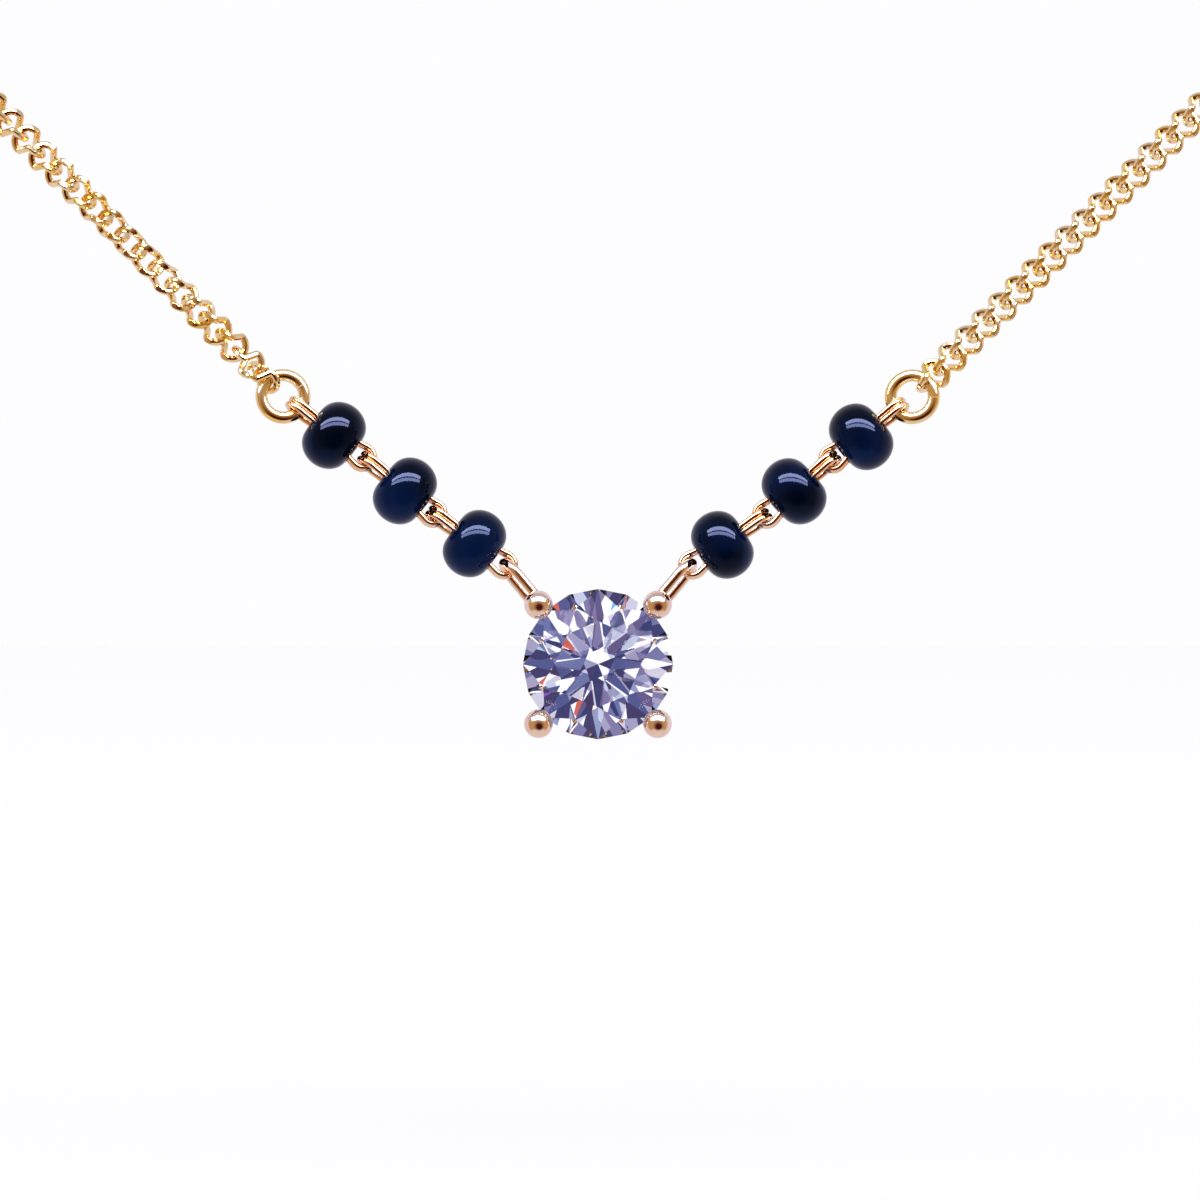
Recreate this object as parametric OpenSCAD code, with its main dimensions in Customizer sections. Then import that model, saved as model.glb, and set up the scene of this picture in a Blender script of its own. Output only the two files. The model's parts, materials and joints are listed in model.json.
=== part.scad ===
// A short mangalsutra: a four-claw solitaire between two strings of black beads on wire links,
// each hooked by a jump ring to a fine curb chain that runs round the neck to a hidden clasp.
// Millimetres. +Z is up, the stone faces -Y, and the origin is the middle of the nape.

/* [Stone] */
// Girdle diameter of the round brilliant
stone_d = 6.5; // [6.2:0.1:6.8]
// Width of the table as a share of the girdle
table_share = 0.57; // [0.54:0.01:0.60]
// Slope of the crown's main facets, degrees
crown_angle = 34.5; // [33:0.5:36]
// Slope of the pavilion's main facets, degrees
pavilion_angle = 40.75; // [40:0.25:41.5]
// Thickness of the girdle
girdle_t = 0.2; // [0.15:0.05:0.3]
// How far the star facets reach towards the girdle, as a share
star_share = 0.55; // [0.45:0.05:0.6]
// How far the lower girdle facets reach towards the culet, as a share
lower_half_share = 0.77; // [0.7:0.01:0.82]

/* [Solitaire setting] */
// Diameter of the ball on the tip of each claw
claw_ball_d = 1.24; // [1.1:0.02:1.36]
// Diameter of a claw's stem
claw_stem_d = 0.68; // [0.6:0.02:0.76]
// Gap between the stone and the metal round it
stone_gap = 0.04; // [0.02:0.01:0.06]
// Depth behind the girdle at which the claws turn inwards
claw_shoulder_y = 1.45; // [1.35:0.05:1.6]
// Depth of the gallery ring behind the girdle
gallery_y = 2.4; // [2.3:0.05:2.5]
// Depth of the base ring behind the girdle
base_y = 3.4; // [3.2:0.05:3.6]
// Middle radius of the base ring
base_r = 2.0; // [1.8:0.05:2.2]
// Wire of the gallery ring and the base ring
gallery_wire_d = 0.52; // [0.46:0.02:0.6]
// Wire of the two side rings that take the strings of beads
side_ring_wire_d = 0.44; // [0.4:0.02:0.48]
// Length of a side ring from the claw's middle to the middle of its bow
side_ring_reach = 2.34; // [2.25:0.01:2.4]
// Play on each side of the bead link in a side ring, which lets the solitaire swing
side_ring_play = 0.2; // [0.16:0.01:0.22]
// Gap between a side ring's wire and the bead link that hangs in it
side_ring_gap = 0.15; // [0.12:0.01:0.16]
// Slope of the side rings above the horizontal, degrees
side_ring_angle = 50; // [46:1:54]
// Depth of the side rings and of the whole string behind the girdle
side_ring_y = 0.85; // [0.8:0.05:0.9]

/* [Beads] */
// Diameter of a black bead
bead_d = 3.05; // [2.9:0.05:3.2]
// Length of a bead along its hole
bead_len = 2.2; // [2.1:0.05:2.3]
// Diameter of a bead's hole
bead_hole_d = 1.2; // [1.18:0.02:1.26]
// Radius that rounds a bead's side into its ends
bead_round_r = 0.94; // [0.85:0.01:0.95]

/* [Bead links] */
// Wire of a bead link, which is laid double
link_wire_d = 0.28; // [0.26:0.01:0.3]
// Distance between the middles of the two wires laid side by side
link_strand_pitch = 0.27; // [0.25:0.01:0.27]
// How far the loop towards the stone stands out of the bead
inner_reach = 1.08; // [1.05:0.01:1.2]
// How far the loop towards the chain stands out of the bead
outer_reach = 1.42; // [1.38:0.01:1.55]
// Diameter of the twisted wires inside the bead
link_core_d = 0.94; // [0.92:0.01:0.98]
// Play on each side of whatever passes through a loop
hook_play = 0.07; // [0.06:0.01:0.09]
// Gap between two wires where one hangs in the other
hook_gap = 0.1; // [0.08:0.01:0.12]
// Roll of both strings about their own length, degrees
strand_roll = 14; // [8:1:18]

/* [Jump rings] */
// Outer diameter of a jump ring
jump_ring_d = 2.4; // [2.3:0.02:2.5]
// Wire of a jump ring
jump_ring_wire_d = 0.52; // [0.48:0.01:0.54]
// Width of the cut at a jump ring's seam
jump_ring_seam = 0.04; // [0.03:0.01:0.08]
// Place of the left ring's seam, degrees round from the chain
left_seam_at = 104; // [90:2:130]
// Place of the right ring's seam, degrees round from the chain
right_seam_at = -50; // [-70:5:-30]

/* [Chain] */
// Width of a chain link before its ends are turned
chain_link_w = 1.48; // [1.45:0.01:1.5]
// Wire of the chain
chain_wire_d = 0.31; // [0.29:0.01:0.32]
// Distance from one chain link to the next
chain_pitch = 1.02; // [1:0.01:1.06]
// Play between two chain links along the chain
chain_play = 0.12; // [0.11:0.01:0.14]
// Turn of each end of a chain link about its length, degrees
chain_twist = 38; // [36:1:40]
// Slope of the chain above the horizontal where it leaves the jump ring, degrees
chain_angle = 45; // [43:1:47]
// Number of open links on each side of the front
front_links = 20; // [16:1:24]
// Diameter of the solid that stands for the chain round the neck
chain_body_d = 1.2; // [1.1:0.05:1.3]

/* [Neck loop] */
// Distance of the strings of beads in front of the nape
front_y = 118; // [116:1:120]
// Distance of the stone below the nape
stone_drop = 96; // [95:1:97]

/* [Clasp] */
// Outer diameter of the clasp's round body
clasp_d = 5.6; // [5:0.1:6.2]
// Thickness of the clasp's body
clasp_wire_d = 0.95; // [0.8:0.05:1.1]
// Outer diameter of the eye on each side of the clasp
clasp_eye_d = 2.1; // [1.9:0.05:2.3]
// Wire of the clasp's eyes
clasp_eye_wire_d = 0.5; // [0.45:0.05:0.55]

/* [Hidden] */

LEFT = -1;
RIGHT = 1;

// Smoothness of round forms
$fn = 48;

// A ball over each bend in a wire is this much thicker than the wire
bend_ball = 1.03;

// Each row is one bead link, from the stone outwards: its slope, the slack of its outer hook,
// and the tilt of the bead on the link
SLOPE = 0;
SLACK = 1;
TILT = 2;
left_string = [
    [36, 0.26, 0],
    [38.5, 0.14, 0],
    [37.5, 0.04, 0],
];
right_string = [
    [34, 0.16, -1],
    [40, 0.30, 2],
    [38, 0.01, 2],
];
bead_count = 3;

// Roll of the chain about its length at the jump ring, what each link adds, and how far back the
// link in the ring is turned so that its bow crosses the ring, degrees
ROLL_START = 0;
ROLL_STEP = 1;
ROLL_HOOK = 2;
left_roll = [46, 5.8, 42];
right_roll = [114, 0, -10];
// Number of links over which the turn of the first one fades
hook_links = 2;

// Route of the chain round the right of the neck, from the open links to the clasp
chain_route = [
    [36, -116.5, -62],
    [42, -112, -55],
    [49, -104, -46],
    [55, -93, -37],
    [59.5, -80, -28],
    [61.5, -66, -20],
    [60.5, -51, -13.5],
    [56, -37, -8.5],
    [48.5, -24.5, -5],
    [38, -14, -2.5],
    [25, -6.5, -1],
    [13, -2, -0.3],
];
rings_per_span = 3;
tube_sides = 8;
tube_gap = 0.1;
neck_axis = [0, -60, -40];
// Straight chain before the tube's start, which sets the tube's first direction
lead_in = 9;

// Stone
stone_r = stone_d / 2;
main_count = 8;
main_step = 360 / main_count;
table_r = stone_r * table_share;
crown_h = (stone_r - table_r) * tan(crown_angle);
pavilion_h = stone_r * tan(pavilion_angle);
table_edge_r = table_r * cos(main_step / 2);
star_r = table_edge_r + (stone_r - table_edge_r) * star_share;
star_h = (stone_r - star_r * cos(main_step / 2)) * tan(crown_angle);
lower_r = stone_r * (1 - lower_half_share);
lower_h = (stone_r - lower_r * cos(main_step / 2)) * tan(pavilion_angle);

// Setting
claw_count = 4;
claw_at = 45;
claw_r = stone_r + stone_gap + claw_stem_d / 2;
claw_xz = claw_r * cos(claw_at);
claw_ball_y = -girdle_t / 2 - (claw_ball_d / 2 + stone_gap - (claw_r - stone_r) * sin(crown_angle))
    / cos(crown_angle);
gallery_r = claw_r + (base_r - claw_r) * (gallery_y - claw_shoulder_y) / (base_y - claw_shoulder_y);

// Bead links
link_wire_r = link_wire_d / 2;
link_band = link_strand_pitch + link_wire_d;
loop_inner_w = max(link_band, jump_ring_wire_d, side_ring_wire_d) + 2 * hook_play;
loop_r = (loop_inner_w + link_wire_d) / 2;
side_ring_r = (link_band + side_ring_wire_d) / 2 + side_ring_play;
inner_half = bead_len / 2 + inner_reach - link_wire_r;
outer_half = bead_len / 2 + outer_reach - link_wire_r;
inner_flare = 10.5;
outer_flare = 8;
link_core_len = bead_len * 0.75;
leg_root = link_core_len * 0.3;

// Jump rings
jump_ring_mid_r = (jump_ring_d - jump_ring_wire_d) / 2;

// Chain
chain_wire_r = chain_wire_d / 2;
chain_bow_r = (chain_link_w - chain_wire_d) / 2;
chain_half = (chain_pitch + chain_wire_d + chain_play) / 2;
chain_bow_x = chain_half - chain_bow_r;

// Clasp
clasp_mid_r = (clasp_d - clasp_wire_d) / 2;
clasp_eye_mid_r = (clasp_eye_d - clasp_eye_wire_d) / 2;
clasp_eye_x = clasp_mid_r + clasp_wire_d / 2 + clasp_eye_mid_r;

// Places
string_y = -front_y;
stone_y = string_y - side_ring_y;
stone_z = -stone_drop;

function slope_dir(a) = [cos(a), sin(a)];
function hook_d(wire_a, wire_b) = (wire_a + wire_b) / 2 + hook_gap;
function string_table(side) = side == LEFT ? left_string : right_string;
function slope(side, k) = string_table(side)[k][SLOPE];

// Middle of the inner bow of link k, in the plane of the string, from the middle of the stone
function inner_tip(side, k) = k == 0
    ? [claw_xz, claw_xz] + side_ring_reach * slope_dir(side_ring_angle)
        - ((side_ring_wire_d + link_wire_d) / 2 + side_ring_gap)
        * slope_dir((side_ring_angle + slope(side, 0)) / 2)
    : outer_tip(side, k - 1)
        - (hook_d(link_wire_d, link_wire_d) + string_table(side)[k - 1][SLACK])
        * slope_dir((slope(side, k - 1) + slope(side, k)) / 2);
function bead_middle(side, k) = inner_tip(side, k) + inner_half * slope_dir(slope(side, k));
function outer_tip(side, k) = bead_middle(side, k) + outer_half * slope_dir(slope(side, k));
function ring_middle(side) = outer_tip(side, bead_count - 1)
    + (jump_ring_mid_r - hook_d(jump_ring_wire_d, link_wire_d) - string_table(side)[bead_count - 1][SLACK])
    * slope_dir(slope(side, bead_count - 1));
function chain_point(side, s) = ring_middle(side)
    + (jump_ring_mid_r - (jump_ring_wire_d + chain_wire_d + chain_play) / 2 + s) * slope_dir(chain_angle);
function in_space(p) = [p[0], string_y, stone_z + p[1]];
function roll_table(side) = side == LEFT ? left_roll : right_roll;
function link_roll(rolls, k) =
    rolls[ROLL_START] + k * rolls[ROLL_STEP] - rolls[ROLL_HOOK] * max(0, 1 - k / hook_links);

// Route of the chain behind the open links, worked out for the right and mirrored for the left
front_len = (front_links - 1) * chain_pitch + 2 * chain_half + chain_wire_r;
function back_route(side) = concat(
    [in_space(chain_point(side, front_len + tube_gap))],
    chain_route,
    [[clasp_eye_x + clasp_eye_d / 2 + tube_gap, 0, 0]]
);
function spline(p0, p1, p2, p3, t) = 0.5 * (
    2 * p1 + (p2 - p0) * t + (2 * p0 - 5 * p1 + 4 * p2 - p3) * t * t
    + (3 * p1 - p0 - 3 * p2 + p3) * t * t * t
);
function before_start(side) = in_space(chain_point(side, front_len + tube_gap - lead_in));
function past_end(route) = 2 * route[len(route) - 1] - route[len(route) - 2];
function unit(v) = v / norm(v);

module at_stone() {
    translate([0, stone_y, stone_z]) children();
}

// Turns +X to the outside of the string at a slope, and +Z to its upper side
module at_string(side, p, a, roll = strand_roll) {
    if (side == LEFT) mirror([1, 0, 0]) at_string(RIGHT, p, a, roll) children();
    else translate(in_space(p)) rotate([0, -a, 0]) rotate([-roll, 0, 0]) children();
}

module stone() {
    function ring(r, y, start) = [for (k = [0:main_count - 1])
        [r * cos(start + k * main_step), y, r * sin(start + k * main_step)]];
    front = -girdle_t / 2;
    back = girdle_t / 2;
    half = main_step / 2;
    table_row = 0;
    star_row = main_count;
    top_main_row = 2 * main_count;
    top_half_row = 3 * main_count;
    low_main_row = 4 * main_count;
    low_half_row = 5 * main_count;
    lower_row = 6 * main_count;
    culet = 7 * main_count;
    corners = concat(
        ring(table_r, front - crown_h, 0), ring(star_r, front - star_h, half),
        ring(stone_r, front, 0), ring(stone_r, front, half),
        ring(stone_r, back, 0), ring(stone_r, back, half),
        ring(lower_r, back + lower_h, half), [[0, back + pavilion_h, 0]]
    );
    function next(k) = (k + 1) % main_count;
    function prev(k) = (k + main_count - 1) % main_count;
    facets = concat(
        [[for (k = [0:main_count - 1]) table_row + k]],
        [for (k = [0:main_count - 1]) [table_row + next(k), table_row + k, star_row + k]],
        [for (k = [0:main_count - 1])
            [table_row + k, star_row + prev(k), top_main_row + k, star_row + k]],
        [for (k = [0:main_count - 1]) [star_row + k, top_main_row + k, top_half_row + k]],
        [for (k = [0:main_count - 1]) [star_row + k, top_half_row + k, top_main_row + next(k)]],
        [for (k = [0:main_count - 1])
            [top_main_row + k, low_main_row + k, low_half_row + k, top_half_row + k]],
        [for (k = [0:main_count - 1])
            [top_half_row + k, low_half_row + k, low_main_row + next(k), top_main_row + next(k)]],
        [for (k = [0:main_count - 1]) [low_half_row + k, low_main_row + k, lower_row + k]],
        [for (k = [0:main_count - 1]) [low_main_row + next(k), low_half_row + k, lower_row + k]],
        [for (k = [0:main_count - 1])
            [low_main_row + k, lower_row + prev(k), culet, lower_row + k]]
    );
    color("lavender") at_stone() polyhedron(corners, facets);
}

module rod(from, to, d) {
    v = to - from;
    translate(from) rotate([0, acos(v[2] / norm(v)), atan2(v[1], v[0])]) cylinder(h = norm(v), d = d);
}

// A wire ring in the XY plane
module wire_ring(r, wire_d) {
    rotate_extrude() translate([r, 0]) circle(d = wire_d);
}

module claw() {
    ball = [claw_r, claw_ball_y, 0];
    shoulder = [claw_r, claw_shoulder_y, 0];
    foot = [base_r, base_y, 0];
    translate(ball) sphere(d = claw_ball_d);
    rod(ball, shoulder, claw_stem_d);
    translate(shoulder) sphere(d = claw_stem_d * bend_ball);
    rod(shoulder, foot, claw_stem_d);
}

// A side ring, from the middle of its claw outwards along +X, in the XY plane
module side_ring() {
    bow_x = side_ring_reach - side_ring_r;
    translate([bow_x, 0, 0]) rotate_extrude(angle = 180, start = -90)
        translate([side_ring_r, 0]) circle(d = side_ring_wire_d);
    for (s = [-1, 1]) translate([0, s * side_ring_r, 0])
        rotate([0, 90, 0]) cylinder(h = bow_x, d = side_ring_wire_d);
}

module solitaire_setting() {
    color("goldenrod") at_stone() union() {
        for (k = [0:claw_count - 1]) rotate([0, claw_at + k * 360 / claw_count, 0]) claw();
        translate([0, gallery_y, 0]) rotate([90, 0, 0]) wire_ring(gallery_r, gallery_wire_d);
        translate([0, base_y, 0]) rotate([90, 0, 0]) wire_ring(base_r, gallery_wire_d);
        for (s = [0, 1]) mirror([s, 0, 0]) translate([claw_xz, side_ring_y, claw_xz])
            rotate([0, -side_ring_angle, 0]) rotate([-strand_roll, 0, 0]) side_ring();
    }
}

// A bead with its hole along X
module bead() {
    r = bead_d / 2;
    half = bead_len / 2;
    rotate([0, 90, 0]) rotate_extrude() difference() {
        union() {
            translate([0, -half]) square([r - bead_round_r, bead_len]);
            translate([0, bead_round_r - half]) square([r, bead_len - 2 * bead_round_r]);
            for (s = [-1, 1]) translate([r - bead_round_r, s * (half - bead_round_r)])
                circle(r = bead_round_r);
        }
        translate([-r, -half]) square([r + bead_hole_d / 2, bead_len]);
    }
}

module string_bead(side, k) {
    color("midnightblue")
        at_string(side, bead_middle(side, k), slope(side, k) + string_table(side)[k][TILT]) bead();
}

module double_wire() {
    for (s = [-1, 1]) translate([0, s * link_strand_pitch / 2]) circle(d = link_wire_d);
}

// A loop of doubled wire in the XY plane, its bow's middle at reach along +X
module double_loop(reach, flare) {
    bow_x = reach - loop_r;
    leg_x = bow_x - loop_r * sin(flare);
    translate([bow_x, 0, 0]) rotate_extrude(angle = 180 + 2 * flare, start = -90 - flare)
        translate([loop_r, 0]) double_wire();
    for (s = [0, 1]) mirror([0, s, 0]) translate([leg_x, loop_r * cos(flare), 0]) {
        rotate([90, 0, flare - 90]) linear_extrude((leg_x - leg_root) / cos(flare)) double_wire();
        for (t = [-1, 1]) translate([0, 0, t * link_strand_pitch / 2]) sphere(r = link_wire_r * bend_ball);
    }
}

module string_link(side, k) {
    color("gold") at_string(side, bead_middle(side, k), slope(side, k)) union() {
        double_loop(outer_half, outer_flare);
        rotate([90, 0, 0]) mirror([1, 0, 0]) double_loop(inner_half, inner_flare);
        translate([-link_core_len / 2, 0, 0]) rotate([0, 90, 0])
            cylinder(h = link_core_len, d = link_core_d);
    }
}

module jump_ring(side) {
    seam_deg = jump_ring_seam / jump_ring_mid_r * 180 / PI;
    color("gold") at_string(side, ring_middle(side), chain_angle) rotate([90, 0, 0])
        rotate_extrude(angle = 360 - seam_deg, start = side == LEFT ? left_seam_at : right_seam_at)
            translate([jump_ring_mid_r, 0]) circle(d = jump_ring_wire_d);
}

// A curb link along X: two bows turned against each other, and two slanting sides
module curb_link() {
    corner = [chain_bow_x, chain_bow_r * cos(chain_twist), -chain_bow_r * sin(chain_twist)];
    union() {
        for (s = [0, 1]) rotate([0, 180 * s, 0]) rotate([-chain_twist, 0, 0]) translate([chain_bow_x, 0, 0])
            rotate_extrude(angle = 180, start = -90) translate([chain_bow_r, 0]) circle(d = chain_wire_d);
        for (s = [0, 1]) rotate([180 * s, 0, 0]) {
            rod(corner, [-corner[0], corner[1], -corner[2]], chain_wire_d);
            for (t = [0, 1]) rotate([0, 180 * t, 0]) translate(corner)
                rotate([0, -90, 0]) sphere(r = chain_wire_r * bend_ball);
        }
    }
}

module chain_front(side) {
    color("gold") for (k = [0:front_links - 1]) {
        p = in_space(chain_point(side, chain_half + k * chain_pitch));
        translate([side * p[0], p[1], p[2]]) rotate([0, -90 + side * (90 - chain_angle), 0])
            rotate([link_roll(roll_table(side), k), 0, 0]) curb_link();
    }
}

module chain_back(side) {
    route = back_route(side);
    last = len(route) - 1;
    padded = concat([before_start(side)], route, [past_end(route)]);
    path = concat(
        [for (k = [0:last - 1], t = [0:rings_per_span - 1])
            spline(padded[k], padded[k + 1], padded[k + 2], padded[k + 3], t / rings_per_span)],
        [route[last]]
    );
    n = len(path);
    function tangent(k) = unit(path[min(k + 1, n - 1)] - path[max(k - 1, 0)]);
    function outward(k) = let (r = path[k] - neck_axis, t = tangent(k)) unit(r - (r * t) * t);
    skin = [for (k = [0:n - 1], j = [0:tube_sides - 1])
        let (a = j * 360 / tube_sides, u = outward(k), v = cross(tangent(k), u))
        path[k] + chain_body_d / 2 * (cos(a) * u + sin(a) * v)];
    function corner(k, j) = k * tube_sides + j % tube_sides;
    sides = [for (k = [0:n - 2], j = [0:tube_sides - 1])
        [corner(k, j), corner(k + 1, j), corner(k + 1, j + 1), corner(k, j + 1)]];
    ends = [[for (j = [0:tube_sides - 1]) j],
        [for (j = [tube_sides - 1:-1:0]) corner(n - 1, j)]];
    color("gold") mirror([side == LEFT ? 1 : 0, 0, 0]) polyhedron(skin, concat(sides, ends));
}

module clasp() {
    color("gold") rotate([90, 0, 0]) union() {
        wire_ring(clasp_mid_r, clasp_wire_d);
        for (s = [-1, 1]) translate([s * clasp_eye_x, 0, 0]) wire_ring(clasp_eye_mid_r, clasp_eye_wire_d);
    }
}

stone();
solitaire_setting();
string_bead(LEFT, 0);  // bead_left_1
string_bead(LEFT, 1);  // bead_left_2
string_bead(LEFT, 2);  // bead_left_3
string_bead(RIGHT, 0);  // bead_right_1
string_bead(RIGHT, 1);  // bead_right_2
string_bead(RIGHT, 2);  // bead_right_3
string_link(LEFT, 0);  // bead_link_left_1
string_link(LEFT, 1);  // bead_link_left_2
string_link(LEFT, 2);  // bead_link_left_3
string_link(RIGHT, 0);  // bead_link_right_1
string_link(RIGHT, 1);  // bead_link_right_2
string_link(RIGHT, 2);  // bead_link_right_3
jump_ring(LEFT);  // jump_ring_left
jump_ring(RIGHT);  // jump_ring_right
chain_front(LEFT);  // chain_front_left
chain_front(RIGHT);  // chain_front_right
chain_back(LEFT);  // chain_back_left
chain_back(RIGHT);  // chain_back_right
clasp();
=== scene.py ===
"""Looks of a short mangalsutra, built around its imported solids.

Wire, beads and links are modelled in millimetres, in the frame of the solids: +Z is up, the stone
faces -Y and the origin is the middle of the nape. Each finished piece is then brought to metres.
"""

from __future__ import annotations

import json
import logging
import math
from dataclasses import dataclass, field
from enum import Enum
from typing import Callable, Sequence

import bmesh
import bpy
from mathutils import Matrix, Vector

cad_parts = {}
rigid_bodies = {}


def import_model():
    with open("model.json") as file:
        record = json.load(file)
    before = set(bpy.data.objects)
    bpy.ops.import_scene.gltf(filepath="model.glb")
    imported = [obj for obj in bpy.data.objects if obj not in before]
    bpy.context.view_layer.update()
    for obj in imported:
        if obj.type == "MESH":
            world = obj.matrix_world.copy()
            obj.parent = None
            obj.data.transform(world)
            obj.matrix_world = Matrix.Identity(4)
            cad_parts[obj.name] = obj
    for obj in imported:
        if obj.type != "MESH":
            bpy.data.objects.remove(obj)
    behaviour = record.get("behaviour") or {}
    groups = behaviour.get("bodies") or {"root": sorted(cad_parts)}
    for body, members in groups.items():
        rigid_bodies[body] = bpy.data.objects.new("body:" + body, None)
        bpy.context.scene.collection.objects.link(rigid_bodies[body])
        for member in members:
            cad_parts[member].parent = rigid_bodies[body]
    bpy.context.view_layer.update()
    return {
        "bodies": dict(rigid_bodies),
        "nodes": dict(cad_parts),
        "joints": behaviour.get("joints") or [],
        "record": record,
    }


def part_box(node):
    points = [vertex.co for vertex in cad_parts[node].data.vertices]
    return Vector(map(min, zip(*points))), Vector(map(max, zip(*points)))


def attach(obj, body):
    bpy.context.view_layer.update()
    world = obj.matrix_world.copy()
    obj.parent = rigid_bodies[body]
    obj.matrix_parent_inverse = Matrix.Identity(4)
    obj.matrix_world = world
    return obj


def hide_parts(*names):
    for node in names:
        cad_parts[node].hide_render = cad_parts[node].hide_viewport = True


log = logging.getLogger("mangalsutra")

MM = 0.001
NECKLACE = "necklace"
PENDANT = "pendant"

Colour = tuple[float, float, float]
Path = list[Vector]
Span = tuple[float, float]


class Side(Enum):
    """The two strings, left and right as a viewer sees them."""

    LEFT = -1
    RIGHT = 1

    @property
    def word(self) -> str:
        """The side's name as the solids spell it."""
        return self.name.lower()


class Slot(Enum):
    """Names of the record's material slots."""

    GOLD = "gold"
    CHAIN = "chain"
    BEAD = "bead"


def middle_of(node: str) -> Vector:
    """Middle of a solid's box, in millimetres."""
    low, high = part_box(node)
    return (low + high) / (2 * MM)


# Shaders


class Sock:
    """A shader socket that does arithmetic by adding Math nodes to its recipe."""

    def __init__(self, recipe: "Recipe", socket: bpy.types.NodeSocket) -> None:
        """Wraps one output socket of a recipe's node."""
        self.recipe = recipe
        self.socket = socket

    def _maths(self, operation: str, *values: "Sock | float") -> "Sock":
        """Adds one Math node with these inputs, in order."""
        return self.recipe.add("ShaderNodeMath", {"operation": operation}, dict(enumerate(values)))

    def __add__(self, other: "Sock | float") -> "Sock":
        """Sum."""
        return self._maths("ADD", self, other)

    def __radd__(self, other: float) -> "Sock":
        """Sum with a number on the left."""
        return self._maths("ADD", other, self)

    def __sub__(self, other: "Sock | float") -> "Sock":
        """Difference."""
        return self._maths("SUBTRACT", self, other)

    def __rsub__(self, other: float) -> "Sock":
        """Difference from a number on the left."""
        return self._maths("SUBTRACT", other, self)

    def __mul__(self, other: "Sock | float") -> "Sock":
        """Product."""
        return self._maths("MULTIPLY", self, other)

    def __rmul__(self, other: float) -> "Sock":
        """Product with a number on the left."""
        return self._maths("MULTIPLY", other, self)

    def __abs__(self) -> "Sock":
        """Size without its sign."""
        return self._maths("ABSOLUTE", self)

    def rise(self, low: float, high: float) -> "Sock":
        """A smooth step from 0 at low to 1 at high.

        Args:
            low: where the step starts.
            high: where it ends; below low for a falling step.

        Returns:
            The step.
        """
        falling = float(high < low)
        settings = {"interpolation_type": "SMOOTHSTEP", "clamp": True}
        ends = {"From Min": min(low, high), "From Max": max(low, high)}
        results = {"To Min": falling, "To Max": 1.0 - falling}
        return self.recipe.add("ShaderNodeMapRange", settings, {"Value": self, **ends, **results})


class Recipe:
    """The node tree of one material or of the world."""

    def __init__(self, tree: bpy.types.NodeTree) -> None:
        """Empties the tree to start from."""
        self.tree = tree
        tree.nodes.clear()

    def node(self, kind: str, settings: dict | None = None, inputs: dict | None = None) -> bpy.types.Node:
        """Adds any node.

        Args:
            kind: the node's type.
            settings: its own settings, set first; "steps" fills a colour ramp.
            inputs: values or links of its sockets, by name or number.

        Returns:
            The node.
        """
        made = self.tree.nodes.new(kind)
        for name, value in (settings or {}).items():
            if name == "steps":
                self._fill_ramp(made.color_ramp, value)
            else:
                setattr(made, name, value)
        for name, value in (inputs or {}).items():
            if isinstance(value, Sock):
                self.tree.links.new(value.socket, made.inputs[name])
            else:
                made.inputs[name].default_value = value
        return made

    def add(self, kind: str, settings: dict | None = None, inputs: dict | None = None,
            output: str | int = 0) -> Sock:
        """Adds any node and hands back one of its outputs.

        Args:
            kind: the node's type.
            settings: its own settings.
            inputs: values or links of its sockets.
            output: which output to hand back.

        Returns:
            The output, ready for arithmetic.
        """
        return Sock(self, self.node(kind, settings, inputs).outputs[output])

    @staticmethod
    def _fill_ramp(ramp: bpy.types.ColorRamp, steps: Sequence[tuple[float, Colour]]) -> None:
        """Gives a ramp flat steps.

        Args:
            ramp: the ramp.
            steps: where each step starts, and its colour.
        """
        ramp.interpolation = "CONSTANT"
        while len(ramp.elements) < len(steps):
            ramp.elements.new(1.0)
        for element, (start, colour) in zip(ramp.elements, steps):
            element.position = start
            element.color = (*colour, 1.0)

    def place(self) -> Sock:
        """Object coordinates, in metres."""
        return self.add("ShaderNodeTexCoord", output="Object")

    def split(self, vector: Sock) -> tuple[Sock, ...]:
        """The X, Y and Z of a vector."""
        parts = self.node("ShaderNodeSeparateXYZ", inputs={0: vector})
        return tuple(Sock(self, output) for output in parts.outputs)

    def noise(self, where: Sock, scale: float, detail: float = 2.0, distortion: float = 0.0) -> Sock:
        """Noise between 0 and 1.

        Args:
            where: coordinates in metres.
            scale: features to the metre.
            detail: octaves.
            distortion: how far the noise is warped.

        Returns:
            The noise.
        """
        sizes = {"Vector": where, "Scale": scale, "Detail": detail, "Distortion": distortion}
        return self.add("ShaderNodeTexNoise", inputs=sizes)

    def mix(self, share: Sock | float, first: Sock | Colour, second: Sock | Colour) -> Sock:
        """Mixes two colours.

        Args:
            share: how much of the second.
            first: the colour at 0.
            second: the colour at 1.

        Returns:
            The mixed colour.
        """
        inputs = {0: share}
        for number, colour in ((6, first), (7, second)):
            inputs[number] = colour if isinstance(colour, Sock) else (*colour, 1.0)
        return self.add("ShaderNodeMix", {"data_type": "RGBA"}, inputs, output=2)

    def bump(self, height: Sock, strength: float, distance: float, over: Sock | None = None) -> Sock:
        """A bumped normal.

        Args:
            height: the relief.
            strength: its share.
            distance: its depth in metres.
            over: the normal that it is laid over, if any.

        Returns:
            The normal.
        """
        inputs = {"Height": height, "Strength": strength, "Distance": distance}
        if over is not None:
            inputs["Normal"] = over
        return self.add("ShaderNodeBump", inputs=inputs)

    def principled(self, inputs: dict) -> None:
        """Adds the Principled shader and the output."""
        shader = self.node("ShaderNodeBsdfPrincipled", inputs=inputs)
        self.node("ShaderNodeOutputMaterial", inputs={"Surface": Sock(self, shader.outputs[0])})


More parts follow.
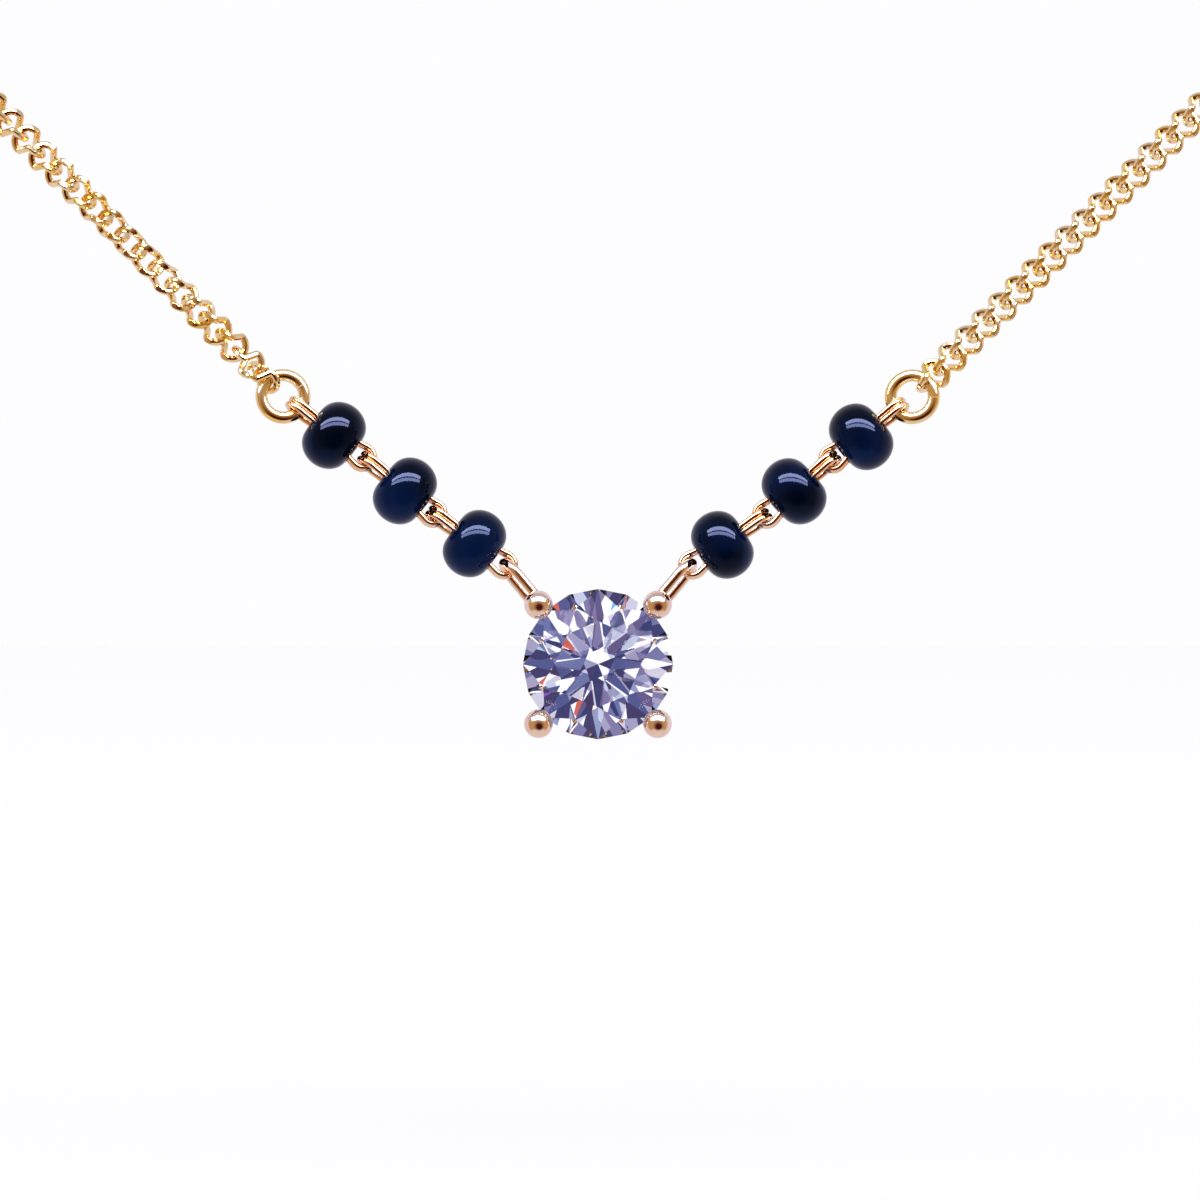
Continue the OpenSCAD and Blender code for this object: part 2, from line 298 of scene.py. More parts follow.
@dataclass(frozen=True)
class Finish:
    """What every finish shares."""

    name: str

    def recipe(self) -> tuple[bpy.types.Material, Recipe]:
        """Starts a material.

        Returns:
            The new material and the recipe of its empty tree.
        """
        material = bpy.data.materials.new(self.name)
        material.use_nodes = True
        return material, Recipe(material.node_tree)


@dataclass(frozen=True)
class GoldFinish(Finish):
    """Polished gold with faint drawing lines and a slow drift of tint."""

    tint: Colour
    deep_tint: Colour
    roughness: float = 0.08
    roughness_spread: float = 0.08
    drift_scale: float = 900.0
    drift_span: Span = (0.35, 0.7)
    drift_warp: float = 0.4
    grain_scale: float = 9000.0
    grain_depth: float = 0.000003
    grain_strength: float = 0.25
    dent_scale: float = 1500.0
    dent_depth: float = 0.00001
    dent_strength: float = 0.35

    def material(self) -> bpy.types.Material:
        """Builds the gold.

        Returns:
            Its material.
        """
        material, recipe = self.recipe()
        where = recipe.place()
        drift = recipe.noise(where, self.drift_scale, distortion=self.drift_warp)
        grain = recipe.noise(where, self.grain_scale, detail=3.0)
        dents = recipe.noise(where, self.dent_scale, detail=1.0)
        dented = recipe.bump(dents, self.dent_strength, self.dent_depth)
        recipe.principled({
            "Base Color": recipe.mix(drift.rise(*self.drift_span), self.tint, self.deep_tint),
            "Metallic": 1.0,
            "Roughness": self.roughness + self.roughness_spread * drift * grain,
            "Normal": recipe.bump(grain, self.grain_strength, self.grain_depth, over=dented),
        })
        return material


@dataclass(frozen=True)
class BeadFinish(Finish):
    """Opaque black glass with a dark blue cast, rolled smooth in a drum."""

    core: Colour
    cast: Colour
    cast_scale: float = 350.0
    cast_span: Span = (0.35, 0.65)
    skin_scale: float = 900.0
    skin_depth: float = 0.000003
    skin_strength: float = 0.3
    roughness: float = 0.05
    roughness_spread: float = 0.05
    refraction: float = 1.52
    specular: float = 0.13
    sheen: Colour = (0.42, 0.52, 1.0)

    def material(self) -> bpy.types.Material:
        """Builds the glass.

        Returns:
            Its material.
        """
        material, recipe = self.recipe()
        where = recipe.place()
        cast = recipe.noise(where, self.cast_scale, detail=1.0)
        skin = recipe.noise(where, self.skin_scale, detail=1.5)
        recipe.principled({
            "Base Color": recipe.mix(cast.rise(*self.cast_span), self.core, self.cast),
            "Roughness": self.roughness + self.roughness_spread * skin,
            "Specular IOR Level": self.specular,
            "Specular Tint": (*self.sheen, 1.0),
            "IOR": self.refraction,
            "Normal": recipe.bump(skin, self.skin_strength, self.skin_depth),
        })
        return material


@dataclass(frozen=True)
class BrilliantFinish(Finish):
    """A polished colourless stone with painted shade that darkens it towards its middle, and a frosted
    girdle.
    """

    tint: Colour
    # Painted shade: the second tint, its span and its noise darken the stone unevenly towards its middle.
    middle_shade_tint: Colour
    girdle_y: float
    girdle_half: float
    girdle_r: float
    centre_z: float
    refraction: float = 2.42
    glint: Colour = (0.03, 0.03, 0.035)
    frost: float = 0.45
    frost_scale: float = 12000.0
    frost_from: float = 0.975
    frost_edge: float = 0.1
    middle_shade_span: Span = (0.6, 0.15)
    shade_noise_scale: float = 500.0
    shade_noise_span: Span = (0.35, 0.65)
    shade_noise_share: float = 0.2

    def material(self) -> bpy.types.Material:
        """Builds the stone's shader.

        Returns:
            Its material.
        """
        material, recipe = self.recipe()
        where = recipe.place()
        x, y, z = recipe.split(where)
        up = z - self.centre_z
        spread = x * x + up * up
        rim = self.girdle_r ** 2
        # Painted shade: the base colour darkens from the rim towards the middle of the stone.
        middle_shade = spread.rise(rim * self.middle_shade_span[0], rim * self.middle_shade_span[1])
        reach = spread.rise(rim * self.frost_from, rim)
        edge = self.girdle_half * self.frost_edge
        on_girdle = reach * abs(y - self.girdle_y).rise(self.girdle_half + edge, self.girdle_half - edge)
        grain = recipe.noise(where, self.frost_scale)
        shade_noise = recipe.noise(where, self.shade_noise_scale, detail=1.0).rise(*self.shade_noise_span)
        # Share of the painted shade, made uneven by noise.
        depth = middle_shade * (1 - self.shade_noise_share + self.shade_noise_share * shade_noise)
        recipe.principled({
            "Base Color": recipe.mix(depth, self.tint, self.middle_shade_tint),
            "Roughness": on_girdle * (self.frost * grain),
            "IOR": self.refraction,
            "Specular Tint": (*self.glint, 1.0),
            "Transmission Weight": 1.0,
        })
        return material


@dataclass(frozen=True)
class FloorFinish(Finish):
    """Plain pale paper."""

    paper: Colour = (0.957, 0.957, 0.966)
    shade: Colour = (0.953, 0.953, 0.964)
    mottle_scale: float = 3.0
    mottle_span: Span = (0.3, 0.7)
    roughness: float = 0.85
    roughness_spread: float = 0.1

    def material(self) -> bpy.types.Material:
        """Builds the paper.

        Returns:
            Its material.
        """
        material, recipe = self.recipe()
        mottle = recipe.noise(recipe.place(), self.mottle_scale, detail=3.0)
        recipe.principled({
            "Base Color": recipe.mix(mottle.rise(*self.mottle_span), self.paper, self.shade),
            "Roughness": self.roughness + self.roughness_spread * mottle,
            "Specular IOR Level": 0.0,
        })
        return material


# Modelling


class Bench:
    """Modelling by hand: one piece at a time, in millimetres, with edit-mode operators."""

    weld = 0.0005
    smooth_angle = math.radians(35)
    ball_segments = 48
    ball_rings = 28

    def clear(self) -> None:
        """Leaves edit mode and deselects everything."""
        if bpy.context.object and bpy.context.object.mode != "OBJECT":
            bpy.ops.object.mode_set(mode="OBJECT")
        bpy.ops.object.select_all(action="DESELECT")

    def take(self, *pieces: bpy.types.Object) -> bpy.types.Object:
        """Selects only these pieces and makes the first one active.

        Args:
            pieces: what is selected.

        Returns:
            The first one.
        """
        self.clear()
        for piece in pieces:
            piece.select_set(True)
        bpy.context.view_layer.objects.active = pieces[0]
        return pieces[0]

    def settle(self) -> None:
        """Takes the active piece's place, turn and size into its mesh."""
        bpy.ops.object.transform_apply(location=True, rotation=True, scale=True)

    def begin(self, name: str, scale: Sequence[float] = (1.0, 1.0, 1.0)) -> bpy.types.Object:
        """Names the primitive that was just added and settles it.

        Args:
            name: the piece's name.
            scale: how it is stretched.

        Returns:
            The piece.
        """
        piece = bpy.context.object
        piece.name = name
        piece.scale = scale
        self.settle()
        return piece

    def edit(self, piece: bpy.types.Object) -> None:
        """Opens one piece in edit mode with vertex selection.

        Args:
            piece: the piece.
        """
        self.take(piece)
        bpy.ops.object.mode_set(mode="EDIT")
        bpy.ops.mesh.select_mode(type="VERT")

    def pick(self, piece: bpy.types.Object, wanted: Callable[[bmesh.types.BMVert], bool]) -> None:
        """Selects the vertices that a test names, and the edges and faces between them.

        Args:
            piece: the piece in edit mode.
            wanted: the test on one vertex.
        """
        mesh = bmesh.from_edit_mesh(piece.data)
        for vertex in mesh.verts:
            vertex.select = wanted(vertex)
        mesh.select_flush_mode()
        bmesh.update_edit_mesh(piece.data)

    def ring(self, name: str, outer_d: float, wire: float, corner: tuple[float, int], steps: int,
             angle: float = math.tau) -> bpy.types.Object:
        """A ring of softened square section about the origin, in the XZ plane.

        Args:
            name: the ring's name.
            outer_d: its outer diameter.
            wire: its thickness.
            corner: the radius and the steps of its section's corners.
            steps: segments in the turn.
            angle: how far round it goes.

        Returns:
            The ring.
        """
        self.clear()
        bpy.ops.mesh.primitive_plane_add(size=1.0, location=((outer_d - wire) / 2, 0, 0))
        piece = self.begin(name, (wire, wire, 1.0))
        self.edit(piece)
        bpy.ops.mesh.select_all(action="SELECT")
        bpy.ops.mesh.bevel(offset=corner[0], segments=corner[1], affect="VERTICES")
        bpy.ops.mesh.select_all(action="SELECT")
        bpy.ops.mesh.delete(type="ONLY_FACE")
        self.spin(Vector((0, -1, 0)), steps, angle)
        return piece

    def spin(self, axis: Vector, steps: int, angle: float = math.tau) -> None:
        """Turns the edited loop about an axis through the origin, and closes what is left open.

        Args:
            axis: the axis.
            steps: segments in the turn.
            angle: how far round.
        """
        bpy.ops.mesh.select_all(action="SELECT")
        bpy.ops.mesh.spin(steps=steps, angle=angle, center=(0.0, 0.0, 0.0), axis=axis)
        bpy.ops.mesh.select_all(action="SELECT")
        bpy.ops.mesh.remove_doubles(threshold=self.weld)
        self.close()

    def close(self) -> None:
        """Fills open ends, turns the faces outwards and leaves edit mode."""
        bpy.ops.mesh.select_all(action="SELECT")
        bpy.ops.mesh.fill_holes(sides=0)
        bpy.ops.mesh.select_all(action="SELECT")
        bpy.ops.mesh.normals_make_consistent(inside=False)
        bpy.ops.object.mode_set(mode="OBJECT")

    def wire(self, name: str, path: Path, radius: float, sides: int, closed: bool) -> bpy.types.Object:
        """Round wire along a path: a circle at each point, each bridged to the next.

        Args:
            name: the piece's name.
            path: points of the wire's middle line.
            radius: the wire's radius.
            sides: sides of the wire.
            closed: whether the wire meets itself.

        Returns:
            The wire.
        """
        count = len(path)
        side_way = self._first_side(path, closed)
        piece = None
        for number, point in enumerate(path):
            along = self._along(path, number, closed)
            side_way = (side_way - side_way.dot(along) * along).normalized()
            turn = Matrix((side_way, along.cross(side_way), along)).transposed()
            place = {"location": point, "rotation": turn.to_euler()}
            if piece:
                bpy.ops.mesh.select_all(action="DESELECT")
            else:
                self.clear()
            bpy.ops.mesh.primitive_circle_add(vertices=sides, radius=radius, **place)
            if not piece:
                piece = self.begin(name)
                self.edit(piece)
        last = count if closed else count - 1
        for number in range(last):
            rings = (number, (number + 1) % count)
            self.pick(piece, lambda vertex: vertex.index // sides in rings and vertex.index < count * sides)
            bpy.ops.mesh.bridge_edge_loops()
        self.close()
        return piece

    @staticmethod
    def _along(path: Path, number: int, closed: bool) -> Vector:
        """Direction of a path at one of its points.

        Args:
            path: the path.
            number: the point.
            closed: whether the path meets itself.

        Returns:
            The direction.
        """
        last = len(path) - 1
        before = path[number - 1] if closed or number > 0 else path[0]
        after = path[(number + 1) % len(path)] if closed or number < last else path[last]
        return (after - before).normalized()

    def _first_side(self, path: Path, closed: bool) -> Vector:
        """A direction square to the start of a path.

        Args:
            path: the path.
            closed: whether the path meets itself.

        Returns:
            The direction.
        """
        along = self._along(path, 0, closed)
        rough = Vector((0, 0, 1)) if abs(along.z) < 0.9 else Vector((0, 1, 0))
        return along.cross(rough).normalized()

    def ball(self, name: str, radius: float, at: Vector) -> bpy.types.Object:
        """A ball of even rings, its poles along Y.

        Args:
            name: the piece's name.
            radius: the ball's radius.
            at: its middle.

        Returns:
            The ball.
        """
        self.clear()
        turn = (math.pi / 2, 0.0, 0.0)
        rings = {"segments": self.ball_segments, "ring_count": self.ball_rings}
        bpy.ops.mesh.primitive_uv_sphere_add(radius=radius, location=at, rotation=turn, **rings)
        return self.begin(name)

    def shave(self, piece: bpy.types.Object, at: Vector, away: Vector) -> None:
        """Grinds a flat: all that lies beyond a plane is cut off and closed.

        Args:
            piece: the piece.
            at: a point of the plane.
            away: the side that is cut off.
        """
        self.edit(piece)
        bpy.ops.mesh.select_all(action="SELECT")
        bpy.ops.mesh.bisect(plane_co=at, plane_no=away, use_fill=True, clear_outer=True, threshold=self.weld)
        bpy.ops.object.mode_set(mode="OBJECT")

    def move(self, piece: bpy.types.Object, place: Matrix) -> bpy.types.Object:
        """Puts a piece in its place.

        Args:
            piece: the piece, modelled at the origin.
            place: where it goes, in millimetres.

        Returns:
            The piece.
        """
        self.take(piece)
        piece.matrix_world = place
        self.settle()
        return piece

    def copy(self, piece: bpy.types.Object, place: Matrix, name: str) -> bpy.types.Object:
        """A copy with its own mesh, put in its place.

        Args:
            piece: what is copied, modelled at the origin.
            place: where the copy goes, in millimetres.
            name: the copy's name.

        Returns:
            The copy.
        """
        self.take(piece)
        bpy.ops.object.duplicate(linked=False)
        made = bpy.context.object
        made.name = name
        return self.move(made, place)

    def join(self, pieces: Sequence[bpy.types.Object], name: str) -> bpy.types.Object:
        """Joins pieces into one object.

        Args:
            pieces: what is joined.
            name: the name of what is made.

        Returns:
            The joined piece.
        """
        made = self.take(*pieces)
        bpy.ops.object.join()
        made.name = name
        return made

    def weld_together(self, pieces: Sequence[bpy.types.Object], name: str) -> bpy.types.Object:
        """Solders closed pieces into one by a chain of unions.

        Args:
            pieces: what is soldered, the first one first.
            name: the name of what is made.

        Returns:
            The soldered piece.
        """
        made = pieces[0]
        for other in pieces[1:]:
            self.take(made)
            union = made.modifiers.new("solder", "BOOLEAN")
            union.operation = "UNION"
            union.solver = "EXACT"
            union.object = other
            bpy.ops.object.modifier_apply(modifier=union.name)
            self.discard(other)
        made.name = name
        return made

    def discard(self, piece: bpy.types.Object) -> None:
        """Takes a pattern off the bench."""
        self.clear()
        bpy.data.objects.remove(piece)

    def deliver(self, piece: bpy.types.Object, name: str, finish: bpy.types.Material, slot: Slot,
                body: str, node: str) -> None:
        """Brings a piece to metres, dresses it and puts it on its body.

        Args:
            piece: the modelled piece, in millimetres.
            name: its final name.
            finish: its material.
            slot: not used.
            body: the body it rides on.
            node: the solid that it stands for.
        """
        self.take(piece)
        piece.name = name
        piece.data.name = name
        piece.scale = (MM, MM, MM)
        self.settle()
        bpy.ops.object.shade_smooth_by_angle(angle=self.smooth_angle)
        piece.data.materials.clear()
        piece.data.materials.append(finish)
        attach(piece, body)
        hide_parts(node)
        log.info("%s: %d faces for %s", name, len(piece.data.polygons), node)

    def fit(self, pattern: bpy.types.Object, place: Matrix, name: str, finish: bpy.types.Material,
            slot: Slot, node: str) -> None:
        """Copies a pattern to its place on the necklace and delivers the copy."""
        self.deliver(self.copy(pattern, place, name), name, finish, slot, NECKLACE, node)


def rounded(path: Path) -> Path:
    """Cuts the corners of a closed path once.

    Args:
        path: the points of the path.

    Returns:
        A smoother path with twice the points.
    """
    cut = []
    for number, point in enumerate(path):
        after = path[(number + 1) % len(path)]
        cut += [point.lerp(after, 0.25), point.lerp(after, 0.75)]
    return cut


def string_frame(side: Side, middle: Vector, slope: float, roll: float) -> Matrix:
    """Place of a piece on a string: its X runs outwards at a slope, its Z is the upper side.

    Args:
        side: which string.
        middle: the piece's middle.
        slope: the string's slope, degrees.
        roll: its roll about its own length, degrees.

    Returns:
        The place, a turn and a move.
    """
    turn = Matrix.Rotation(math.radians(-slope), 4, "Y") @ Matrix.Rotation(math.radians(-roll), 4, "X")
    if side is Side.LEFT:
        turn = Matrix.Diagonal((-1, 1, 1, 1)) @ turn @ Matrix.Diagonal((1, -1, 1, 1))
    return Matrix.Translation(middle) @ turn


# Sub-assemblies


@dataclass
class Brilliant:
    """The stone: its solid already has every facet, so it only gets its finish."""

    node: str = "stone"
    girdle_d: float = 6.5
    girdle_t: float = 0.2
    pavilion_angle: float = 40.75
    tint: Colour = (0.98, 0.98, 1.0)
    # Painted shade: the tint of the stone's darkened middle.
    middle_shade_tint: Colour = (0.83, 0.84, 0.9)

    def dress(self, frame: dict) -> None:
        """Puts the finish on the solid.

        Args:
            frame: the loaded frame.
        """
        _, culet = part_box(self.node)
        girdle_r = self.girdle_d / 2 * MM
        half = self.girdle_t / 2 * MM
        girdle_y = culet.y - girdle_r * math.tan(math.radians(self.pavilion_angle)) - half
        finish = BrilliantFinish(
            name="brilliant", tint=self.tint, middle_shade_tint=self.middle_shade_tint, girdle_y=girdle_y,
            girdle_half=half, girdle_r=girdle_r, centre_z=middle_of(self.node).z * MM)
        solid = frame["nodes"][self.node]
        solid.data.materials.clear()
        solid.data.materials.append(finish.material())
        log.info("%s: polished, with a frosted girdle", self.node)


@dataclass
class Solitaire:
    """The four-claw setting, soldered from claws, two rings behind the stone and two side rings."""

    bench: Bench
    gold: bpy.types.Material
    node: str = "solitaire_setting"
    stone_r: float = 3.25
    stone_gap: float = 0.04
    girdle_t: float = 0.2
    crown_angle: float = 34.5
    claw_count: int = 4
    claw_at: float = 45.0
    ball_r: float = 0.62
    stem_r: float = 0.34
    shoulder_y: float = 1.45
    shoulder_bend: float = 0.35
    shoulder_cuts: Span = (0.04, 0.03)
    gallery_y: float = 2.4
    base_y: float = 3.4
    base_r: float = 2.0
    gallery_wire_r: float = 0.26
    side_wire_r: float = 0.22
    side_reach: float = 2.34
    side_play: float = 0.2
    link_band: float = 0.55
    side_angle: float = 50.0
    side_y: float = 0.85
    string_y: float = -118.0
    roll: float = 14.0
    wire_sides: int = 20
    hoop_steps: int = 64
    bow_steps: int = 20

    @property
    def claw_r(self) -> float:
        """Distance of a claw from the middle of the stone."""
        return self.stone_r + self.stone_gap + self.stem_r

    @property
    def ball_y(self) -> float:
        """Depth of a claw's ball.

        Returns:
            The depth at which the ball lies on the crown.
        """
        slope = math.radians(self.crown_angle)
        lift = self.ball_r + self.stone_gap - (self.claw_r - self.stone_r) * math.sin(slope)
        return -self.girdle_t / 2 - lift / math.cos(slope)

    def claw(self) -> bpy.types.Object:
        """One claw at the origin's right.

        Returns:
            The claw: a stem that bends at its shoulder, from its ball to its foot.
        """
        ball = Vector((self.claw_r, self.ball_y, 0))
        shoulder = Vector((self.claw_r, self.shoulder_y, 0))
        foot = Vector((self.base_r, self.base_y, 0))
        bend = self.shoulder_bend
        before, after = self.shoulder_cuts
        path = [
            ball,
            ball.lerp(shoulder, 0.5),
            shoulder.lerp(ball, bend),
            shoulder.lerp(ball, bend / 3).lerp(foot, before),
            shoulder.lerp(foot, bend / 3).lerp(ball, after),
            shoulder.lerp(foot, bend),
            foot,
        ]
        stem = self.bench.wire("claw_stem", path, self.stem_r, self.wire_sides, closed=False)
        tip = self.bench.ball("claw_ball", self.ball_r, ball)
        toe = self.bench.ball("claw_toe", self.stem_r, foot)
        return self.bench.weld_together([stem, tip, toe], "claw")

    def hoop(self, name: str, radius: float, wire_r: float, y: float) -> bpy.types.Object:
        """A ring of wire behind the stone.

        Args:
            name: the ring's name.
            radius: its middle radius.
            wire_r: its wire's radius.
            y: its depth.

        Returns:
            The ring.
        """
        path = []
        for number in range(self.hoop_steps):
            angle = math.tau * number / self.hoop_steps
            path.append(Vector((radius * math.cos(angle), y, radius * math.sin(angle))))
        return self.bench.wire(name, path, wire_r, self.wire_sides, closed=True)

    def side_ring(self) -> bpy.types.Object:
        """A side ring along +X from its claw's middle, in the XY plane.

        Returns:
            The ring: two legs and a bow.
        """
        bow_r = self.link_band / 2 + self.side_wire_r + self.side_play
        bow_x = self.side_reach - bow_r
        path = [Vector((0, -bow_r, 0)), Vector((bow_x / 2, -bow_r, 0))]
        for number in range(self.bow_steps + 1):
            angle = math.pi * (number / self.bow_steps - 0.5)
            path.append(Vector((bow_x + bow_r * math.cos(angle), bow_r * math.sin(angle), 0)))
        path += [Vector((bow_x / 2, bow_r, 0)), Vector((0, bow_r, 0))]
        return self.bench.wire("side_ring", path, self.side_wire_r, self.wire_sides, closed=False)

    def build(self) -> None:
        """Models the setting and delivers it."""
        stone = middle_of("stone")
        centre = Vector((0, self.string_y - self.side_y, stone.z))
        rise = (self.gallery_y - self.shoulder_y) / (self.base_y - self.shoulder_y)
        gallery_r = self.claw_r + (self.base_r - self.claw_r) * rise
        pieces = [
            self.hoop("gallery", gallery_r, self.gallery_wire_r, self.gallery_y),
            self.hoop("base", self.base_r, self.gallery_wire_r, self.base_y),
        ]
        claw = self.claw()
        for number in range(self.claw_count):
            turn = Matrix.Rotation(math.radians(self.claw_at + number * 360 / self.claw_count), 4, "Y")
            pieces.append(self.bench.copy(claw, turn, f"claw_{number + 1}"))
        self.bench.discard(claw)
        ring = self.side_ring()
        claw_xz = self.claw_r * math.cos(math.radians(self.claw_at))
        for side in Side:
            root = Vector((side.value * claw_xz, self.side_y, claw_xz))
            place = string_frame(side, root, self.side_angle, self.roll)
            pieces.append(self.bench.copy(ring, place, f"side_ring_{side.word}"))
        self.bench.discard(ring)
        made = self.bench.weld_together(pieces, "setting")
        self.bench.move(made, Matrix.Translation(centre))
        self.bench.deliver(made, "claw_setting", self.gold, Slot.GOLD, PENDANT, self.node)


@dataclass
class BeadPattern:
    """One black bead with its hole along X, modelled once and copied."""

    bench: Bench
    bead_r: float = 1.525
    length: float = 2.2
    hole_r: float = 0.6
    barrel_y: float = 0.56
    lip: float = 0.07
    lip_steps: int = 4
    outline_steps: int = 96
    turn_steps: int = 72

    def make(self) -> bpy.types.Object:
        """Turns the bead's barrel-shaped wall about its hole.

        Returns:
            The bead, at the origin.
        """
        bench = self.bench
        bench.clear()
        middle = (0.0, self.barrel_y, 0.0)
        bpy.ops.mesh.primitive_circle_add(vertices=self.outline_steps, radius=1.0, location=middle)
        bead = bench.begin("bead_pattern", (self.length / 2, self.bead_r - self.barrel_y, 1.0))
        bench.edit(bead)
        bpy.ops.mesh.select_all(action="SELECT")
        bpy.ops.mesh.bisect(plane_co=(0, self.hole_r, 0), plane_no=(0, -1, 0), clear_outer=True)
        at_hole = self.hole_r + bench.weld
        bench.pick(bead, lambda vertex: vertex.co.y < at_hole)
        bpy.ops.mesh.edge_face_add()
        bench.pick(bead, lambda vertex: vertex.co.y < at_hole)
        bpy.ops.mesh.bevel(offset=self.lip, segments=self.lip_steps, affect="VERTICES")
        bench.spin(Vector((1, 0, 0)), self.turn_steps)
        return bead


@dataclass
class WireLinkPattern:
    """One bead link: two closed strands side by side, turned a quarter inside the bead."""

    bench: Bench
    wire_r: float = 0.14
    half_gap: float = 0.138
    loop_r: float = 0.485
    bead_len: float = 2.2
    outer_reach: float = 1.42
    inner_reach: float = 1.08
    outer_flare: float = 8.0
    inner_flare: float = 10.5
    root: float = 0.495
    bow_steps: int = 14
    leg_steps: int = 2
    twist_steps: int = 6
    sides: int = 14

    def half_loop(self, reach: float, flare_deg: float) -> Path:
        """Middle line of one loop in the XY plane, from its lower root round its bow to its upper root.

        Args:
            reach: how far the loop stands out of the bead.
            flare_deg: how much its legs close towards the bead.

        Returns:
            The loop's points.
        """
        flare = math.radians(flare_deg)
        bow_x = self.bead_len / 2 + reach - self.wire_r - self.loop_r
        bow = []
        for number in range(self.bow_steps + 1):
            angle = (math.pi / 2 + flare) * (2 * number / self.bow_steps - 1)
            bow.append(Vector((bow_x + self.loop_r * math.cos(angle), self.loop_r * math.sin(angle), 0)))
        leg_x = bow[-1].x
        foot_y = bow[-1].y - (leg_x - self.root) * math.tan(flare)
        foot = Vector((self.root, foot_y, 0))
        leg = [bow[-1].lerp(foot, (n + 1) / (self.leg_steps + 1)) for n in range(self.leg_steps + 1)]
        mirrored = [Vector((p.x, -p.y, 0)) for p in reversed(leg)]
        return mirrored + bow + leg

    def strand(self, offset: float) -> Path:
        """Middle line of one closed strand.

        Args:
            offset: how far it lies beside the link's middle.

        Returns:
            The strand's points.
        """
        outer = [p + Vector((0, 0, offset)) for p in self.half_loop(self.outer_reach, self.outer_flare)]
        inner = [Vector((-p.x, -offset, -p.y)) for p in self.half_loop(self.inner_reach, self.inner_flare)]
        return outer + self.twist(outer[-1], inner[0]) + inner + self.twist(inner[-1], outer[0])

    def twist(self, start: Vector, end: Vector) -> Path:
        """A quarter turn about X between two roots.

        Args:
            start: the root it leaves.
            end: the root it comes to.

        Returns:
            The points between the roots.
        """
        first = math.atan2(start.z, start.y)
        turn = math.remainder(math.atan2(end.z, end.y) - first, math.tau)
        points = []
        for number in range(1, self.twist_steps):
            share = number / self.twist_steps
            reach = math.hypot(start.y, start.z) * (1 - share) + math.hypot(end.y, end.z) * share
            angle = first + turn * share
            x = start.x + (end.x - start.x) * share
            points.append(Vector((x, reach * math.cos(angle), reach * math.sin(angle))))
        return points

    def make(self) -> bpy.types.Object:
        """Models both strands.

        Returns:
            The link, at the origin.
        """
        strands = []
        for name, sign in (("near", -1), ("far", 1)):
            path = self.strand(sign * self.half_gap)
            strands.append(self.bench.wire(f"strand_{name}", path, self.wire_r, self.sides, closed=True))
        return self.bench.join(strands, "wire_link_pattern")


@dataclass
class JumpRingPattern:
    """A cut ring with flattened sides, in the XZ plane."""

    bench: Bench
    outer_d: float = 2.4
    wire: float = 0.52
    corner: tuple[float, int] = (0.22, 5)
    seam: float = 0.04
    steps: int = 72

    def make(self, name: str, seam_at: float) -> bpy.types.Object:
        """Turns the ring's section and puts its seam in place.

        Args:
            name: the ring's name.
            seam_at: the seam's place, degrees round from the chain.

        Returns:
            The ring, at the origin.
        """
        angle = math.tau - 2 * self.seam / (self.outer_d - self.wire)
        ring = self.bench.ring(name, self.outer_d, self.wire, self.corner, self.steps, angle)
        return self.bench.move(ring, Matrix.Rotation(math.radians(-seam_at), 4, "Y"))


@dataclass
class BeadString:
    """One string: three beads on their wire links, and the jump ring at its outer end."""

    side: Side
    bench: Bench
    bead: bpy.types.Object
    link: bpy.types.Object
    rings: JumpRingPattern
    glass: bpy.types.Material
    gold: bpy.types.Material
    ring_gold: bpy.types.Material
    slopes: tuple[float, float, float]
    tilts: tuple[float, float, float]
    seam_at: float
    roll: float = 14.0
    chain_angle: float = 45.0

    def build(self) -> None:
        """Models and delivers the whole string."""
        word = self.side.word
        for number, (slope, tilt) in enumerate(zip(self.slopes, self.tilts), start=1):
            node = f"bead_{word}_{number}"
            place = string_frame(self.side, middle_of(node), slope + tilt, self.roll)
            self.bench.fit(self.bead, place, f"black_{node}", self.glass, Slot.BEAD, node)
            place = string_frame(self.side, middle_of(node), slope, self.roll)
            node = f"bead_link_{word}_{number}"
            self.bench.fit(self.link, place, f"wire_link_{word}_{number}", self.gold, Slot.GOLD, node)
        node = f"jump_ring_{word}"
        place = string_frame(self.side, middle_of(node), self.chain_angle, self.roll)
        ring = self.bench.move(self.rings.make(f"ring_model_{word}", self.seam_at), place)
        self.bench.deliver(ring, f"cut_ring_{word}", self.ring_gold, Slot.GOLD, NECKLACE, node)


